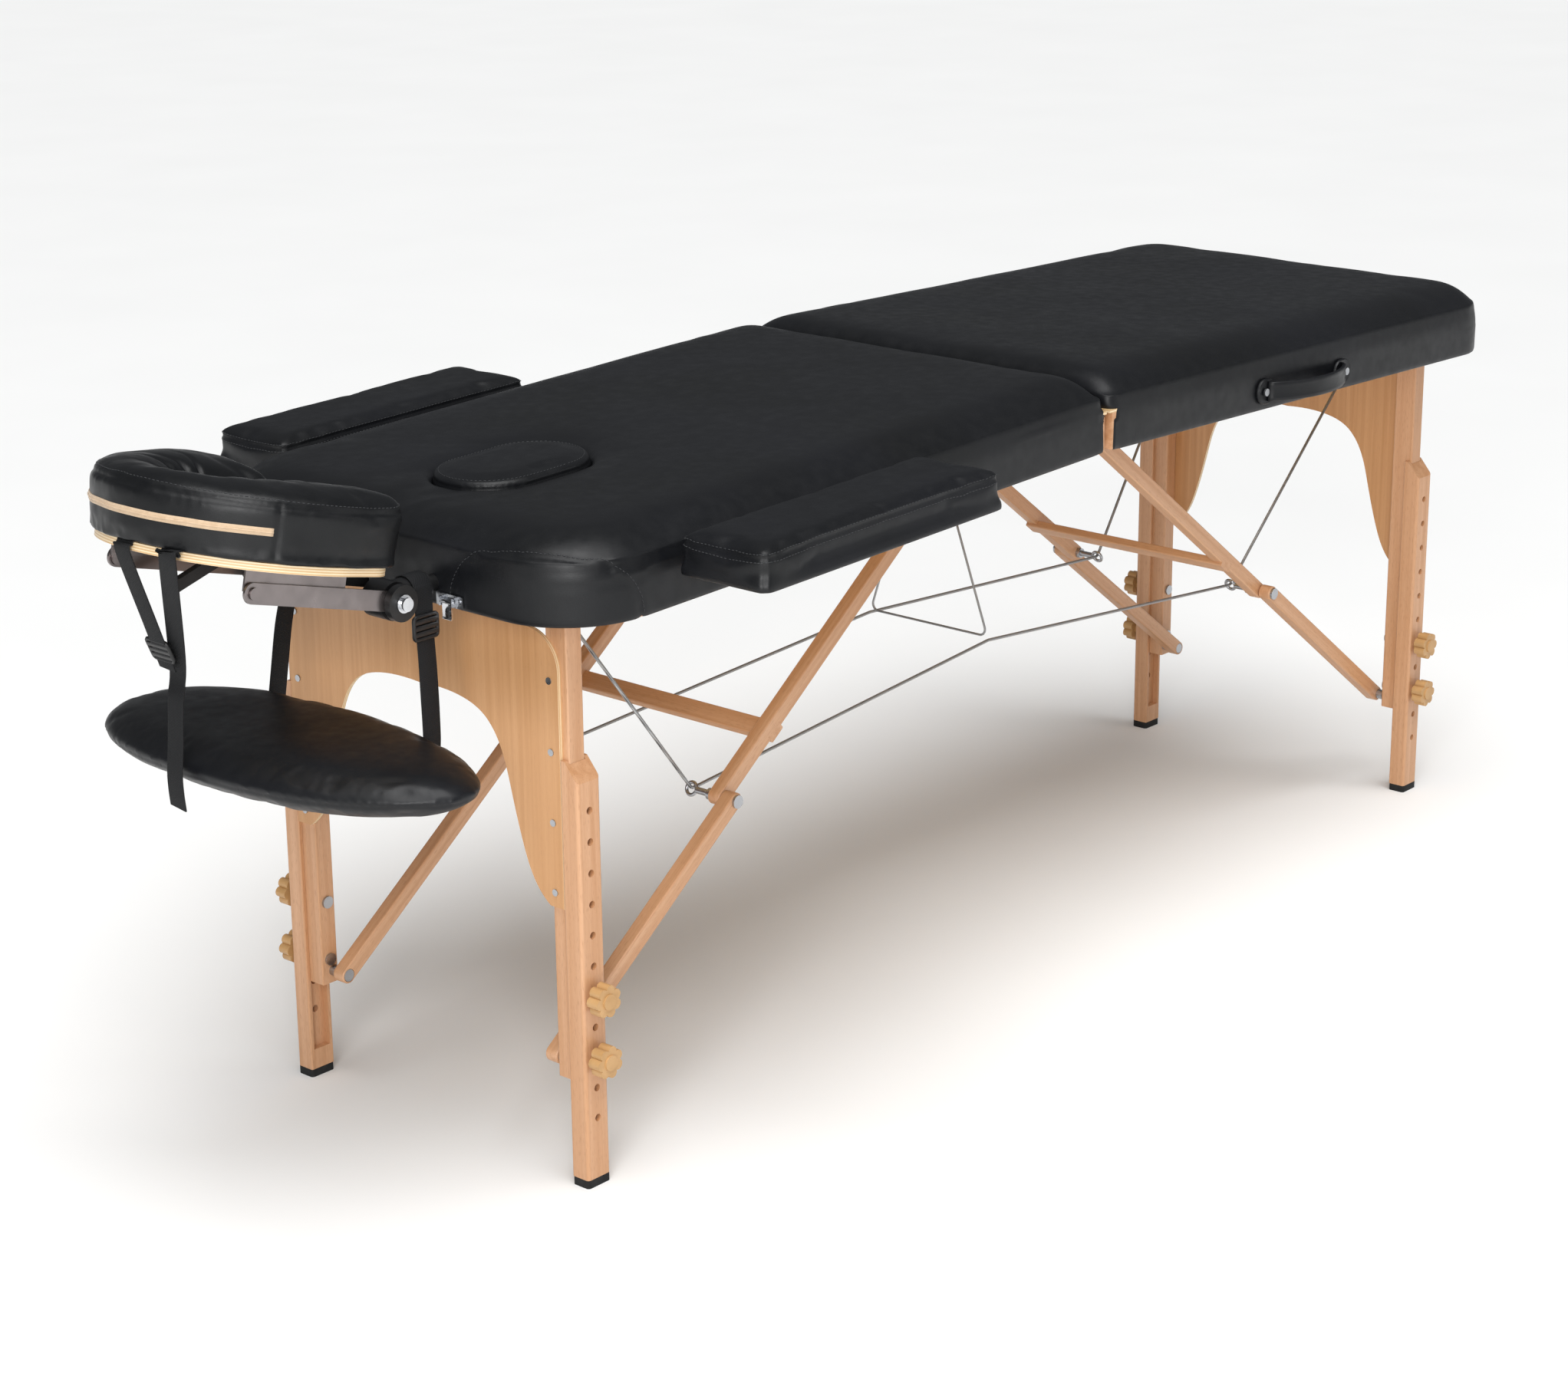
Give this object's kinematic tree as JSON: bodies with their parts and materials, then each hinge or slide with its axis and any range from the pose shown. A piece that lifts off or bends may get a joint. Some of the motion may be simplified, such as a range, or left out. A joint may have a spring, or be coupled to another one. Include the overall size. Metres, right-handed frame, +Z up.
{
  "type": "portable massage table",
  "caption": "Folding two-section massage table with wooden legs, cable bracing, side armrests, a tilting face cradle and a hanging arm sling.",
  "frame": {"origin": "on the floor, under the middle of the table's whole outline, face cradle and armrests included", "axes": "+X from the head end to the foot end, +Y towards the far side (the carry handle is on the near side, -Y), +Z up"},
  "size_m": [2.1963, 0.882, 0.8504],
  "materials": {
    "leather": "satin",
    "beech": "satin",
    "panel_wood": "satin",
    "plywood": "satin",
    "steel": "satin",
    "chrome": "polished",
    "rubber": "matte",
    "knob_plastic": "satin",
    "black_plastic": "satin",
    "webbing": "matte"
  },
  "bodies": {
    "head_half": {"head_frame": "beech", "head_deck": "plywood", "head_pad": "leather", "head_fittings": "steel"},
    "fold_hinge": {"fold_hinge_pins": "steel", "support_cables": "steel"},
    "foot_half": {"foot_frame": "beech", "foot_deck": "plywood", "foot_pad": "leather", "foot_fittings": "steel", "carry_handle": "leather"},
    "head_legs": {"head_upper_legs": "beech", "head_end_panel": "panel_wood", "head_leg_fasteners": "steel"},
    "head_upper_brace_pair": {"head_upper_braces": "beech", "head_crossbar": "beech", "head_eye_bolts": "steel"},
    "head_lower_brace_pair": {"head_lower_braces": "beech", "head_knuckle_bolts": "steel"},
    "head_near_extension_leg": {"head_near_extension": "beech", "head_near_foot": "rubber"},
    "head_near_lower_knob_body": {"head_near_lower_knob": "knob_plastic"},
    "head_near_upper_knob_body": {"head_near_upper_knob": "knob_plastic"},
    "head_far_extension_leg": {"head_far_extension": "beech", "head_far_foot": "rubber"},
    "head_far_lower_knob_body": {"head_far_lower_knob": "knob_plastic"},
    "head_far_upper_knob_body": {"head_far_upper_knob": "knob_plastic"},
    "foot_legs": {"foot_upper_legs": "beech", "foot_end_panel": "panel_wood", "foot_leg_fasteners": "steel"},
    "foot_upper_brace_pair": {"foot_upper_braces": "beech", "foot_crossbar": "beech", "foot_eye_bolts": "steel"},
    "foot_lower_brace_pair": {"foot_lower_braces": "beech", "foot_knuckle_bolts": "steel"},
    "foot_near_extension_leg": {"foot_near_extension": "beech", "foot_near_foot": "rubber"},
    "foot_near_lower_knob_body": {"foot_near_lower_knob": "knob_plastic"},
    "foot_near_upper_knob_body": {"foot_near_upper_knob": "knob_plastic"},
    "foot_far_extension_leg": {"foot_far_extension": "beech", "foot_far_foot": "rubber"},
    "foot_far_lower_knob_body": {"foot_far_lower_knob": "knob_plastic"},
    "foot_far_upper_knob_body": {"foot_far_upper_knob": "knob_plastic"},
    "breath_plug_body": {"breath_plug": "leather"},
    "armrest_near": {"armrest_frame_near": "plywood", "armrest_pad_near": "leather"},
    "latch_lever_body_near": {"latch_lever_near": "chrome"},
    "armrest_far": {"armrest_frame_far": "plywood", "armrest_pad_far": "leather"},
    "latch_lever_body_far": {"latch_lever_far": "chrome"},
    "cradle_base_body": {"cradle_base": "black_plastic", "cradle_nuts": "chrome"},
    "cradle_arm_pair": {"cradle_arms": "steel"},
    "cradle_plate_body": {"cradle_plate": "plywood", "cradle_brackets": "steel"},
    "clamp_lever_body_near": {"clamp_lever_near": "black_plastic"},
    "clamp_lever_body_far": {"clamp_lever_far": "black_plastic"},
    "face_cushion_body": {"face_cushion": "leather"},
    "sling": {"sling_pad": "leather", "sling_straps": "webbing"}
  },
  "joints": [
    {"name": "fold_first", "type": "hinge", "parent": "head_half", "child": "fold_hinge", "pos_m": [0.165, 0, 0.687], "axis": [0, 1, 0], "range_deg": [0, 100], "deforming": ["support_cables"]},
    {"name": "fold_last", "type": "hinge", "parent": "fold_hinge", "child": "foot_half", "pos_m": [0.165, 0, 0.687], "axis": [0, 1, 0], "range_deg": [0, 77]},
    {"name": "head_leg_fold", "type": "hinge", "parent": "head_half", "child": "head_legs", "pos_m": [-0.69226, 0, 0.68556], "axis": [0, -1, 0], "range_deg": [0, 91.5]},
    {"name": "head_upper_brace_fold", "type": "hinge", "parent": "head_half", "child": "head_upper_brace_pair", "pos_m": [0.08419, 0, 0.71689], "axis": [0, 1, 0], "range_deg": [0, 35.34]},
    {"name": "head_lower_brace_fold", "type": "hinge", "parent": "head_legs", "child": "head_lower_brace_pair", "pos_m": [-0.68726, 0, 0.139], "axis": [0, -1, 0], "range_deg": [0, 52.23]},
    {"name": "head_near_height", "type": "slide", "parent": "head_legs", "child": "head_near_extension_leg", "axis": [0, 0, -1], "range_m": [-0.0724, 0.1448]},
    {"name": "head_near_lower_knob_turn", "type": "hinge", "parent": "head_legs", "child": "head_near_lower_knob_body", "pos_m": [-0.69226, 0, 0.1546], "axis": [0, -1, 0], "continuous": true},
    {"name": "head_near_upper_knob_turn", "type": "hinge", "parent": "head_legs", "child": "head_near_upper_knob_body", "pos_m": [-0.69226, 0, 0.227], "axis": [0, -1, 0], "continuous": true},
    {"name": "head_far_height", "type": "slide", "parent": "head_legs", "child": "head_far_extension_leg", "axis": [0, 0, -1], "range_m": [-0.0724, 0.1448]},
    {"name": "head_far_lower_knob_turn", "type": "hinge", "parent": "head_legs", "child": "head_far_lower_knob_body", "pos_m": [-0.69226, 0, 0.1546], "axis": [0, 1, 0], "continuous": true},
    {"name": "head_far_upper_knob_turn", "type": "hinge", "parent": "head_legs", "child": "head_far_upper_knob_body", "pos_m": [-0.69226, 0, 0.227], "axis": [0, 1, 0], "continuous": true},
    {"name": "foot_leg_fold", "type": "hinge", "parent": "foot_half", "child": "foot_legs", "pos_m": [1.02226, 0, 0.68556], "axis": [0, 1, 0], "range_deg": [0, 91.5]},
    {"name": "foot_upper_brace_fold", "type": "hinge", "parent": "foot_half", "child": "foot_upper_brace_pair", "pos_m": [0.24581, 0, 0.71689], "axis": [0, -1, 0], "range_deg": [0, 35.34]},
    {"name": "foot_lower_brace_fold", "type": "hinge", "parent": "foot_legs", "child": "foot_lower_brace_pair", "pos_m": [1.01726, 0, 0.139], "axis": [0, 1, 0], "range_deg": [0, 52.23]},
    {"name": "foot_near_height", "type": "slide", "parent": "foot_legs", "child": "foot_near_extension_leg", "axis": [0, 0, -1], "range_m": [-0.0724, 0.1448]},
    {"name": "foot_near_lower_knob_turn", "type": "hinge", "parent": "foot_legs", "child": "foot_near_lower_knob_body", "pos_m": [1.02226, 0, 0.1546], "axis": [0, -1, 0], "continuous": true},
    {"name": "foot_near_upper_knob_turn", "type": "hinge", "parent": "foot_legs", "child": "foot_near_upper_knob_body", "pos_m": [1.02226, 0, 0.227], "axis": [0, -1, 0], "continuous": true},
    {"name": "foot_far_height", "type": "slide", "parent": "foot_legs", "child": "foot_far_extension_leg", "axis": [0, 0, -1], "range_m": [-0.0724, 0.1448]},
    {"name": "foot_far_lower_knob_turn", "type": "hinge", "parent": "foot_legs", "child": "foot_far_lower_knob_body", "pos_m": [1.02226, 0, 0.1546], "axis": [0, 1, 0], "continuous": true},
    {"name": "foot_far_upper_knob_turn", "type": "hinge", "parent": "foot_legs", "child": "foot_far_upper_knob_body", "pos_m": [1.02226, 0, 0.227], "axis": [0, 1, 0], "continuous": true},
    {"name": "breath_plug_lift", "type": "slide", "parent": "head_half", "child": "breath_plug_body", "axis": [-0.0262, 0, 0.9997], "range_m": [0, 0.06]},
    {"name": "armrest_slide_near", "type": "slide", "parent": "head_half", "child": "armrest_near", "axis": [0, -1, 0], "range_m": [0, 0.045]},
    {"name": "latch_lever_turn_near", "type": "hinge", "parent": "head_half", "child": "latch_lever_body_near", "pos_m": [-0.76792, 0, 0.67157], "axis": [0, 1, 0], "range_deg": [0, 100]},
    {"name": "armrest_slide_far", "type": "slide", "parent": "head_half", "child": "armrest_far", "axis": [0, 1, 0], "range_m": [0, 0.045]},
    {"name": "latch_lever_turn_far", "type": "hinge", "parent": "head_half", "child": "latch_lever_body_far", "pos_m": [-0.76792, 0, 0.67157], "axis": [0, 1, 0], "range_deg": [0, 100]},
    {"name": "cradle_slide", "type": "slide", "parent": "head_half", "child": "cradle_base_body", "axis": [-0.9997, 0, -0.0262], "range_m": [0, 0.09]},
    {"name": "cradle_arm_turn", "type": "hinge", "parent": "cradle_base_body", "child": "cradle_arm_pair", "pos_m": [-0.83329, 0, 0.68487], "axis": [0, 1, 0], "range_deg": [-35, 12]},
    {"name": "cradle_tilt", "type": "hinge", "parent": "cradle_arm_pair", "child": "cradle_plate_body", "pos_m": [-1.025, 0, 0.737], "axis": [0, -1, 0], "range_deg": [-4, 20]},
    {"name": "clamp_lever_turn_near", "type": "hinge", "parent": "cradle_plate_body", "child": "clamp_lever_body_near", "pos_m": [-0.917, 0, 0.724], "axis": [0, 1, 0], "range_deg": [0, 70]},
    {"name": "clamp_lever_turn_far", "type": "hinge", "parent": "cradle_plate_body", "child": "clamp_lever_body_far", "pos_m": [-0.917, 0, 0.724], "axis": [0, -1, 0], "range_deg": [0, 70]},
    {"name": "face_cushion_lift", "type": "slide", "parent": "cradle_plate_body", "child": "face_cushion_body", "axis": [0.2164, 0, 0.9763], "range_m": [0, 0.05]},
    {"name": "sling_swing", "type": "hinge", "parent": "cradle_base_body", "child": "sling", "pos_m": [-0.915, 0, 0.7], "axis": [0, 1, 0], "range_deg": [-8, 8], "deforming": ["sling_straps"]}
  ],
  "couplings": [
    {"joint": "head_leg_fold", "follows": "fold_first", "ratio": 0.915},
    {"joint": "head_upper_brace_fold", "follows": "fold_first", "ratio": 0.35337},
    {"joint": "head_lower_brace_fold", "follows": "fold_first", "ratio": 0.52226},
    {"joint": "foot_leg_fold", "follows": "fold_first", "ratio": 0.915},
    {"joint": "foot_upper_brace_fold", "follows": "fold_first", "ratio": 0.35337},
    {"joint": "foot_lower_brace_fold", "follows": "fold_first", "ratio": 0.52226}
  ]
}
